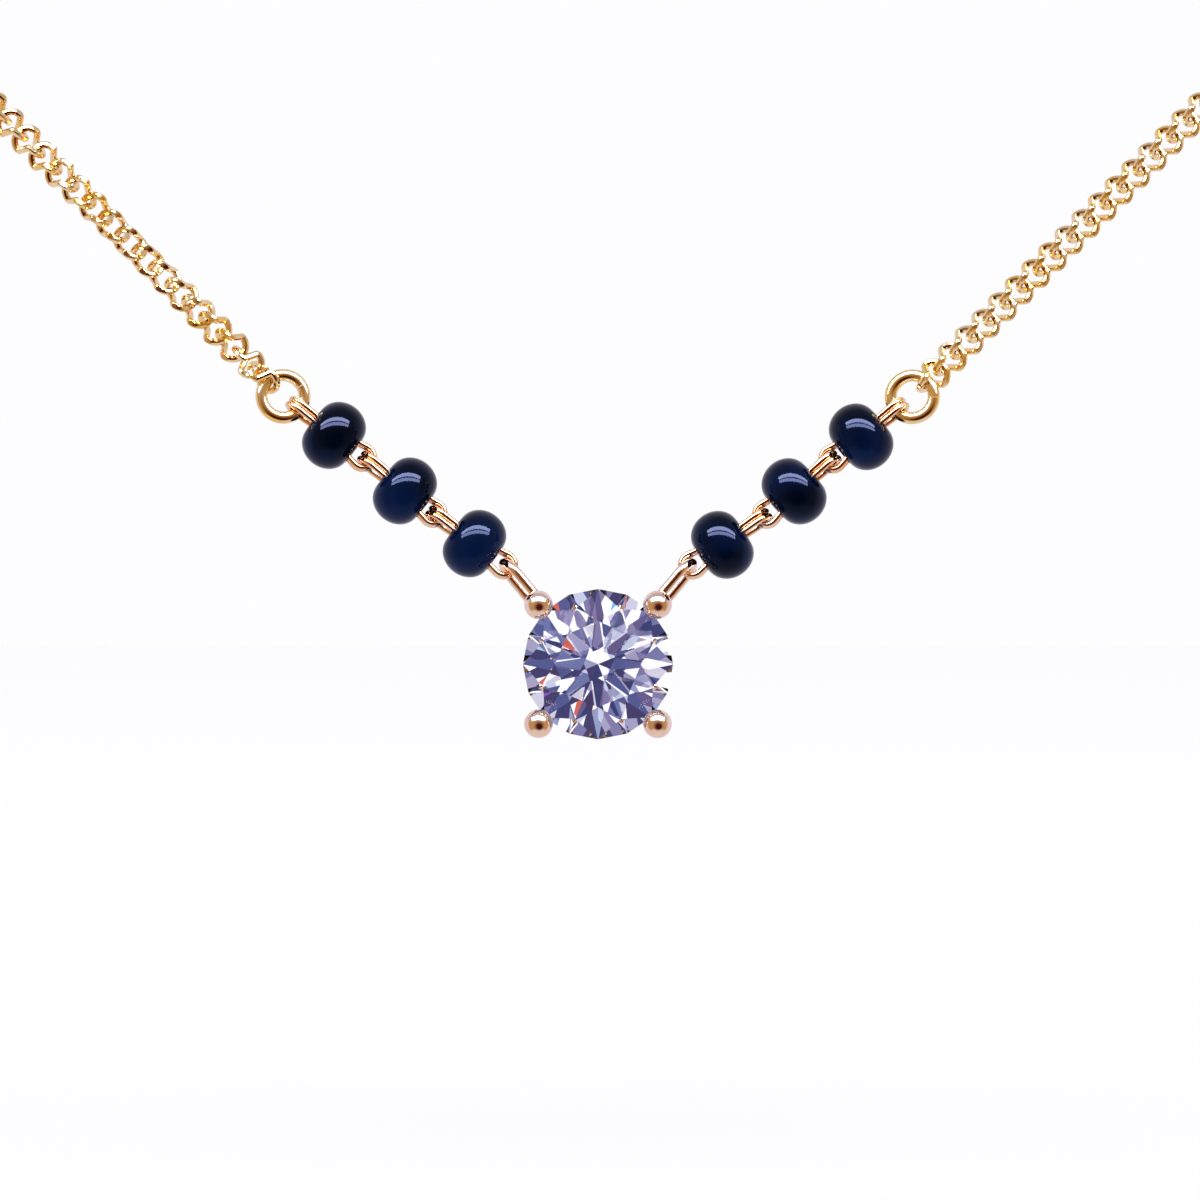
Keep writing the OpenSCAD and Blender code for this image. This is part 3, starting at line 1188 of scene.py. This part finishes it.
@dataclass
class CurbLinkPattern:
    """A curb link along X: two bows turned against each other.

    The fine and the plain form each have their steps in a bow, steps in a side and sides of the wire.
    """

    bench: Bench
    width: float = 1.48
    wire_r: float = 0.155
    pitch: float = 1.02
    play: float = 0.12
    twist: float = -38.0
    grind: float = 0.06
    fine_steps: tuple[int, int, int] = (8, 3, 10)
    plain_steps: tuple[int, int, int] = (4, 2, 6)

    @property
    def bow_r(self) -> float:
        """Middle radius of a bow."""
        return self.width / 2 - self.wire_r

    @property
    def half(self) -> float:
        """Half the length of the link's middle line."""
        return (self.pitch + self.play) / 2 + self.wire_r

    def path(self, bow_steps: int, side_steps: int) -> Path:
        """Middle line of the link.

        Args:
            bow_steps: steps in each bow.
            side_steps: steps in each slanting side.

        Returns:
            The link's points, once round.
        """
        bow_x = self.half - self.bow_r
        turn = math.radians(self.twist)
        bow = []
        for number in range(bow_steps + 1):
            angle = math.pi * (number / bow_steps - 0.5)
            along = bow_x + self.bow_r * math.cos(angle)
            across = self.bow_r * math.sin(angle)
            bow.append(Vector((along, across * math.cos(turn), across * math.sin(turn))))
        other = [Vector((-p.x, p.y, -p.z)) for p in reversed(bow)]
        side = [bow[-1].lerp(other[0], n / side_steps) for n in range(1, side_steps)]
        other_side = [Vector((-p.x, -p.y, p.z)) for p in side]
        return bow + side + other + other_side

    def fine(self) -> bpy.types.Object:
        """The link of the front stretch.

        Returns:
            The link, rounded and ground flat on both faces.
        """
        *path_steps, wire_sides = self.fine_steps
        path = rounded(self.path(*path_steps))
        link = self.bench.wire("curb_fine", path, self.wire_r, wire_sides, closed=True)
        top = self.bow_r * abs(math.sin(math.radians(self.twist))) + self.wire_r - self.grind
        for sign in (-1, 1):
            self.bench.shave(link, Vector((0, 0, sign * top)), Vector((0, 0, sign)))
        return link

    def plain(self) -> bpy.types.Object:
        """The link of the long back stretch, of a few dozen faces."""
        *path_steps, wire_sides = self.plain_steps
        return self.bench.wire("curb_plain", self.path(*path_steps), self.wire_r, wire_sides, closed=True)


@dataclass
class CurbChain:
    """One side's chain: open links at the front and the long stretch round the neck to the clasp.

    Rolls are in degrees about the chain's own length. The route's points are the right side's, and the
    links of the long stretch face away from a point inside the neck.
    """

    side: Side
    bench: Bench
    links: CurbLinkPattern
    gold: bpy.types.Material
    roll_start: float
    roll_step: float
    roll_hook: float
    hook_links: int = 2
    front_links: int = 20
    chain_angle: float = 45.0
    ring_mid_r: float = 0.94
    ring_wire: float = 0.52
    clasp_eye_x: float = 4.4
    eye_clearance: float = 0.4
    settle_links: int = 24
    clasp_roll: float = 48.0
    clasp_links: int = 14
    neck: Vector = field(default_factory=lambda: Vector((0, -60, -40)))
    lead_in: float = 9.0
    tube_gap: float = 0.1
    clasp_half: float = 4.65
    knot_steps: int = 40
    route: tuple[tuple[float, float, float], ...] = (
        (36, -116.5, -62), (42, -112, -55), (49, -104, -46), (55, -93, -37), (59.5, -80, -28),
        (61.5, -66, -20), (60.5, -51, -13.5), (56, -37, -8.5), (48.5, -24.5, -5), (38, -14, -2.5),
        (25, -6.5, -1), (13, -2, -0.3),
    )

    def mirror(self, point: Vector) -> Vector:
        """A point of the right side's chain, on this side."""
        return Vector((self.side.value * point.x, point.y, point.z))

    @property
    def start(self) -> Vector:
        """Where the chain's first link reaches into the jump ring.

        Returns:
            The link's inner end, on this side.
        """
        ring = middle_of(f"jump_ring_{self.side.word}")
        hook = self.ring_mid_r - (self.ring_wire + 2 * self.links.wire_r + self.links.play) / 2
        return ring + hook * self.outwards

    @property
    def outwards(self) -> Vector:
        """Direction of the front stretch, on this side."""
        slope = math.radians(self.chain_angle)
        return Vector((self.side.value * math.cos(slope), 0, math.sin(slope)))

    def front_roll(self, number: int) -> float:
        """Roll of an open link, degrees."""
        hook = self.roll_hook * max(0.0, 1 - number / self.hook_links)
        return self.roll_start + number * self.roll_step - hook

    def front_frame(self, number: int) -> Matrix:
        """Place of an open link.

        Args:
            number: the link, counted from the jump ring.

        Returns:
            The place.
        """
        middle = self.start + (self.links.half + number * self.links.pitch) * self.outwards
        turn = Matrix.Rotation(math.radians(-90 + self.side.value * (90 - self.chain_angle)), 4, "Y")
        roll = Matrix.Rotation(math.radians(self.front_roll(number)), 4, "X")
        return Matrix.Translation(middle) @ turn @ roll

    def back_path(self) -> Path:
        """The long stretch's middle line.

        Returns:
            Its points in fine steps, from the last open link to the clasp.
        """
        last = self.start + (self.links.half + (self.front_links - 1) * self.links.pitch) * self.outwards
        tube_start = self.start + (self.front_length + self.tube_gap) * self.outwards
        lead = tube_start - self.lead_in * self.outwards
        end = self.mirror(Vector((self.clasp_half + self.tube_gap, 0, 0)))
        knots = [tube_start, *(self.mirror(Vector(p)) for p in self.route), end]
        knots = [lead, *knots, 2 * end - knots[-2]]
        path = [last]
        for number in range(1, len(knots) - 2):
            for step in range(self.knot_steps):
                path.append(self.spline(knots[number - 1:number + 3], step / self.knot_steps))
        path += [end, self.mirror(Vector((self.clasp_eye_x, 0, 0)))]
        return path

    @property
    def front_length(self) -> float:
        """Length of the open stretch."""
        return (self.front_links - 1) * self.links.pitch + 2 * self.links.half + self.links.wire_r

    @staticmethod
    def spline(knots: Sequence[Vector], share: float) -> Vector:
        """A point of a smooth curve between the middle two of four knots.

        Args:
            knots: the four knots.
            share: how far along, from 0 to 1.

        Returns:
            The point.
        """
        a, b, c, d = knots
        return 0.5 * (2 * b + (c - a) * share + (2 * a - 5 * b + 4 * c - d) * share ** 2
                      + (3 * b - a - 3 * c + d) * share ** 3)

    def back_frames(self) -> list[Matrix]:
        """Lays out the long stretch's links.

        Returns:
            Their places, evenly spaced from the last open link to the clasp's eye.
        """
        path = self.back_path()
        reached = [0.0]
        for before, after in zip(path, path[1:]):
            reached.append(reached[-1] + (after - before).length)
        length = reached[-1] - self.links.half + self.eye_clearance
        count = round(length / self.links.pitch)
        pitch = length / count
        frames = []
        first_offset = None
        for number in range(1, count + 1):
            goal = number * pitch
            index = next((n for n, at in enumerate(reached) if at >= goal), len(path) - 1)
            span = reached[index] - reached[index - 1]
            middle = path[index - 1].lerp(path[index], (goal - reached[index - 1]) / span)
            along = (path[index] - path[index - 1]).normalized()
            away = middle - self.neck
            outward = (away - away.dot(along) * along).normalized()
            if first_offset is None:
                first_offset = self.offset_from_front(along, outward)
            settle = max(0.0, 1 - number / self.settle_links)
            hook = max(0.0, 1 - (count - number) / self.clasp_links)
            roll = first_offset * settle + math.radians(self.clasp_roll) * hook
            across = outward.cross(along)
            turn = Matrix((along, across, outward)).transposed().to_4x4()
            frames.append(Matrix.Translation(middle) @ turn @ Matrix.Rotation(roll, 4, "X"))
        return frames

    def offset_from_front(self, along: Vector, outward: Vector) -> float:
        """Roll that carries the open links' roll on into the long stretch.

        Args:
            along: direction of the chain there.
            outward: direction away from the neck there.

        Returns:
            The roll, in radians, at most a quarter turn.
        """
        flat = self.front_frame(self.front_links - 1).to_3x3() @ Vector((0, 0, 1))
        across = outward.cross(along)
        angle = math.atan2(-flat.dot(across), flat.dot(outward))
        step = math.radians(self.roll_step)
        return math.remainder(angle + step, math.pi)

    def lay(self, pattern: bpy.types.Object, frames: Sequence[Matrix], name: str, node: str) -> None:
        """Copies a link to every place and delivers the stretch.

        Args:
            pattern: the link.
            frames: the places.
            name: the stretch's name.
            node: the solid that it stands for.
        """
        links = [self.bench.copy(pattern, place, f"{name}_{n}") for n, place in enumerate(frames)]
        self.bench.deliver(self.bench.join(links, name), name, self.gold, Slot.CHAIN, NECKLACE, node)

    def build(self, fine: bpy.types.Object, plain: bpy.types.Object) -> None:
        """Lays both stretches.

        Args:
            fine: the pattern of an open link.
            plain: the pattern of a back link.
        """
        word = self.side.word
        front = [self.front_frame(n) for n in range(self.front_links)]
        self.lay(fine, front, f"curb_chain_{word}", f"chain_front_{word}")
        self.lay(plain, self.back_frames(), f"curb_chain_back_{word}", f"chain_back_{word}")


@dataclass
class Clasp:
    """The clasp at the nape: one plain ring with an eye on each side."""

    bench: Bench
    gold: bpy.types.Material
    node: str = "clasp"
    outer_d: float = 5.6
    wire: float = 0.95
    eye_d: float = 2.1
    eye_wire: float = 0.5
    corner_share: float = 0.42
    corner_steps: int = 6
    steps: int = 64

    def ring(self, name: str, outer_d: float, wire: float, x: float) -> bpy.types.Object:
        """One of the clasp's rings.

        Args:
            name: the ring's name.
            outer_d: its outer diameter.
            wire: its thickness.
            x: where its middle lies.

        Returns:
            The ring.
        """
        corner = (wire * self.corner_share, self.corner_steps)
        ring = self.bench.ring(name, outer_d, wire, corner, self.steps)
        return self.bench.move(ring, Matrix.Translation((x, 0, 0)))

    def build(self) -> None:
        """Models the clasp and delivers it."""
        eye_x = self.outer_d / 2 + (self.eye_d - self.eye_wire) / 2
        pieces = [self.ring("clasp_body", self.outer_d, self.wire, 0.0)]
        for side in Side:
            pieces.append(self.ring(f"eye_{side.word}", self.eye_d, self.eye_wire, side.value * eye_x))
        made = self.bench.weld_together(pieces, "clasp_model")
        self.bench.deliver(made, "clasp_ring", self.gold, Slot.GOLD, NECKLACE, self.node)


# Studio


@dataclass(frozen=True)
class Softbox:
    """A soft lamp in front of the piece, aimed at the stone."""

    name: str
    elevation: float
    width: float
    height: float
    radiance: float
    distance: float = 0.6
    colour: Colour = (1.0, 0.97, 1.0)

    def set_up(self, aim: Vector, lit: Sequence[bpy.types.Object]) -> None:
        """Adds the lamp.

        Args:
            aim: the point it faces, in metres.
            lit: the pieces it lights.
        """
        data = bpy.data.lights.new(self.name, "AREA")
        data.shape = "RECTANGLE"
        data.size = self.width
        data.size_y = self.height
        data.color = self.colour
        data.energy = self.radiance * math.pi * self.width * self.height
        lamp = bpy.data.objects.new(self.name, data)
        bpy.context.scene.collection.objects.link(lamp)
        up = math.radians(self.elevation)
        away = Vector((0, -math.cos(up), math.sin(up)))
        lamp.location = aim + away * self.distance
        lamp.rotation_euler = away.to_track_quat("Z", "Y").to_euler()
        lamp.visible_camera = False
        lamp.visible_diffuse = False
        lamp.visible_transmission = False
        group = bpy.data.collections.new(self.name)
        for piece in lit:
            group.objects.link(piece)
        lamp.light_linking.receiver_collection = group


@dataclass(frozen=True)
class Patch:
    """A soft round patch of the world, full up to its inner angle and gone at its outer one, in degrees."""

    aim: tuple[float, float, float]
    inner: float
    outer: float
    colour: Colour

    def over(self, recipe: Recipe, where: Sock, under: Sock) -> Sock:
        """Lays the patch over what is there.

        Args:
            recipe: the world's recipe.
            where: direction looked at.
            under: the colour without the patch.

        Returns:
            The colour with it.
        """
        inputs = {0: where, 1: Vector(self.aim).normalized()}
        towards = recipe.add("ShaderNodeVectorMath", {"operation": "DOT_PRODUCT"}, inputs, output="Value")
        share = towards.rise(math.cos(math.radians(self.outer)), math.cos(math.radians(self.inner)))
        return recipe.mix(share, under, self.colour)


@dataclass
class Studio:
    """A plain pale room with soft lamps, and a camera level with the stone.

    Each strip lamp has its name, its elevation in degrees, its width and height in metres and its share of
    the light. Spans are directions' Y or Z between which one colour gives way to the next.
    """

    photo_px: float = 1200.0
    px_per_mm: float = 23.1
    stone_px: tuple[float, float] = (598.0, 664.0)
    camera_distance: float = 0.4
    sensor: float = 36.0
    floor_z: float = -0.116
    floor_size: float = 8.0
    string_y: float = -0.118
    backdrop: Colour = (0.985, 0.985, 1.0)
    paper_light: Colour = (1.06, 1.06, 1.065)
    behind: Colour = (0.82, 0.78, 0.9)
    front: Colour = (0.54, 0.35, 0.16)
    front_span: Span = (0.15, -0.25)
    below: Colour = (0.8, 0.76, 0.78)
    below_span: Span = (-0.55, -0.8)
    above: Colour = (0.56, 0.55, 0.66)
    above_span: Span = (0.3, 0.45)
    above_front_span: Span = (0.5, 0.2)
    darks: tuple[Patch, ...] = (
        Patch((0.1, -1, -0.3), 12, 50, (0.22, 0.09, 0.05)),
        Patch((0.15, -1, -0.4), 15, 34, (0.06, 0.008, 0.012)),
    )
    facet_scale: float = 10.0
    facet_warp: float = 1.2
    hue_scale: float = 3.0
    hue_span: Span = (0.42, 0.58)
    levels: tuple[float, ...] = (0.0, 0.41, 0.46, 0.5, 0.535, 0.566)
    cool: tuple[Colour, ...] = (
        (0.05, 0.06, 0.19), (0.1, 0.115, 0.3), (0.18, 0.2, 0.43),
        (0.34, 0.38, 0.62), (0.64, 0.7, 0.9), (1.2, 1.2, 1.25),
    )
    warm: tuple[Colour, ...] = (
        (0.07, 0.055, 0.15), (0.15, 0.12, 0.28), (0.26, 0.22, 0.42),
        (0.45, 0.4, 0.59), (0.74, 0.7, 0.84), (1.2, 1.2, 1.25),
    )
    fires: tuple[Patch, ...] = (
        Patch((-0.3, -0.9, 0.5), 5.4, 9, (0.75, 0.16, 0.12)),
        Patch((0.6, -0.7, 0.4), 4.8, 8, (0.8, 0.4, 0.3)),
        Patch((-0.8, -0.6, 0.2), 4.8, 8, (0.2, 0.6, 1.2)),
        Patch((0.4, -0.5, -0.7), 4.8, 8, (0.3, 0.1, 0.55)),
        Patch((-0.2, -0.6, -0.8), 5.4, 9, (0.5, 0.75, 0.85)),
    )
    strips: tuple[tuple[str, float, float, float, float], ...] = (
        ("upper strip", 59, 1.35, 0.15, 1.0),
        ("lower strip", 41, 1.45, 0.13, 0.75),
    )
    bead_light: float = 44.0
    metal_light: float = 13.0

    def camera(self) -> None:
        """Sets the camera level with the stone, framed as in the photo."""
        stone = middle_of("stone") * MM
        centre = self.photo_px / 2
        across = (centre - self.stone_px[0]) / self.px_per_mm * MM
        up = (self.stone_px[1] - centre) / self.px_per_mm * MM
        data = bpy.data.cameras.new("camera")
        data.sensor_width = self.sensor
        data.lens = self.sensor * self.camera_distance / (self.photo_px / self.px_per_mm * MM)
        data.clip_start = 0.01
        data.clip_end = 50.0
        camera = bpy.data.objects.new("camera", data)
        camera.location = (stone.x + across, self.string_y - self.camera_distance, stone.z + up)
        camera.rotation_euler = (math.pi / 2, 0, 0)
        bpy.context.scene.collection.objects.link(camera)
        bpy.context.scene.camera = camera

    def floor(self) -> None:
        """Lays the pale floor."""
        bpy.ops.object.select_all(action="DESELECT")
        bpy.ops.mesh.primitive_plane_add(size=self.floor_size, location=(0, 0, self.floor_z))
        floor = bpy.context.object
        floor.name = "floor"
        floor.data.materials.append(FloorFinish("pale paper").material())
        floor.visible_glossy = False
        floor.visible_transmission = False

    def world(self) -> None:
        """Light from all round, with its own pattern of lights and darks for the stone."""
        world = bpy.data.worlds.new("studio")
        bpy.context.scene.world = world
        world.use_nodes = True
        recipe = Recipe(world.node_tree)
        where = recipe.add("ShaderNodeTexCoord", output="Generated")
        path = recipe.node("ShaderNodeLightPath")
        kinds = ("Is Camera Ray", "Is Diffuse Ray", "Is Transmission Ray")
        seen, diffuse, through = (Sock(recipe, path.outputs[kind]) for kind in kinds)
        colour = recipe.mix(diffuse, self.room(recipe, where), self.paper_light)
        colour = recipe.mix(through, colour, self.stone_room(recipe, where))
        colour = recipe.mix(seen, colour, self.backdrop)
        light = recipe.add("ShaderNodeBackground", inputs={"Color": colour, "Strength": 1.0})
        recipe.node("ShaderNodeOutputWorld", inputs={"Surface": light})

    def room(self, recipe: Recipe, where: Sock) -> Sock:
        """What metal and beads mirror: tan in front, pale behind and below, grey above, dark low in front.

        Args:
            recipe: the world's recipe.
            where: direction looked at.

        Returns:
            The room's colour.
        """
        _, y, z = recipe.split(where)
        room = recipe.mix(y.rise(*self.front_span), self.behind, self.front)
        room = recipe.mix(z.rise(*self.below_span), room, self.below)
        room = recipe.mix(z.rise(*self.above_span) * y.rise(*self.above_front_span), room, self.above)
        for dark in self.darks:
            room = dark.over(recipe, where, room)
        return room

    def stone_room(self, recipe: Recipe, where: Sock) -> Sock:
        """What the stone's facets send back: patches from slate through lavender to white, and a few fires.

        Args:
            recipe: the world's recipe.
            where: direction looked at.

        Returns:
            The pattern's colour.
        """
        facets = recipe.noise(where, self.facet_scale, detail=1.0, distortion=self.facet_warp)
        hues = recipe.noise(where, self.hue_scale, detail=1.0)
        ramps = []
        for colours in (self.cool, self.warm):
            steps = list(zip(self.levels, colours))
            ramps.append(recipe.add("ShaderNodeValToRGB", {"steps": steps}, {0: facets}))
        colour = recipe.mix(hues.rise(*self.hue_span), *ramps)
        for fire in self.fires:
            colour = fire.over(recipe, where, colour)
        return colour

    def lamps(self, glass: bpy.types.Material) -> None:
        """Sets up the strip lamps, stronger on the dull glass of the beads than on the metal.

        Args:
            glass: the beads' finish.
        """
        aim = middle_of("stone") * MM
        meshes = [piece for piece in bpy.context.scene.objects if piece.type == "MESH"]
        beads = [piece for piece in meshes if glass in piece.data.materials[:]]
        rest = [piece for piece in meshes if piece not in beads]
        for target, lit, light in (("beads", beads, self.bead_light), ("metal", rest, self.metal_light)):
            for name, elevation, width, height, share in self.strips:
                lamp = Softbox(f"{name} on {target}", elevation, width, height, light * share)
                lamp.set_up(aim, lit)

    def build(self) -> None:
        """Sets up camera, floor and world."""
        self.camera()
        self.floor()
        self.world()
        bpy.context.scene.view_settings.view_transform = "Standard"
        log.info("studio: camera %.2f m from the strings", self.camera_distance)


def main() -> None:
    """Builds the whole scene in order."""
    logging.basicConfig(level=logging.INFO, format="%(name)s: %(message)s")
    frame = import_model()
    studio = Studio()
    studio.build()
    bench = Bench()
    rose = GoldFinish("rose gold", tint=(0.92, 0.73, 0.6), deep_tint=(0.88, 0.6, 0.45)).material()
    rosy = GoldFinish("rosy gold", tint=(0.91, 0.68, 0.5), deep_tint=(0.87, 0.5, 0.27)).material()
    yellow = GoldFinish("yellow gold", tint=(0.93, 0.73, 0.43), deep_tint=(0.91, 0.62, 0.2)).material()
    glass = BeadFinish("black glass", core=(0.0003, 0.002, 0.008), cast=(0.001, 0.008, 0.042)).material()

    Brilliant().dress(frame)
    Solitaire(bench, rose).build()

    bead = BeadPattern(bench).make()
    link = WireLinkPattern(bench).make()
    rings = JumpRingPattern(bench)
    BeadString(Side.LEFT, bench, bead, link, rings, glass, rosy, yellow,
               slopes=(36, 38.5, 37.5), tilts=(0, 0, 0), seam_at=104).build()
    BeadString(Side.RIGHT, bench, bead, link, rings, glass, rosy, yellow,
               slopes=(34, 40, 38), tilts=(-1, 2, 2), seam_at=-50).build()
    bench.discard(bead)
    bench.discard(link)

    curb = CurbLinkPattern(bench)
    fine = curb.fine()
    plain = curb.plain()
    CurbChain(Side.LEFT, bench, curb, yellow, roll_start=46, roll_step=5.8, roll_hook=42).build(fine, plain)
    CurbChain(Side.RIGHT, bench, curb, yellow, roll_start=114, roll_step=0, roll_hook=-10).build(fine, plain)
    bench.discard(fine)
    bench.discard(plain)

    Clasp(bench, rosy).build()
    studio.lamps(glass)
    bench.clear()


if __name__ == "__main__":
    main()
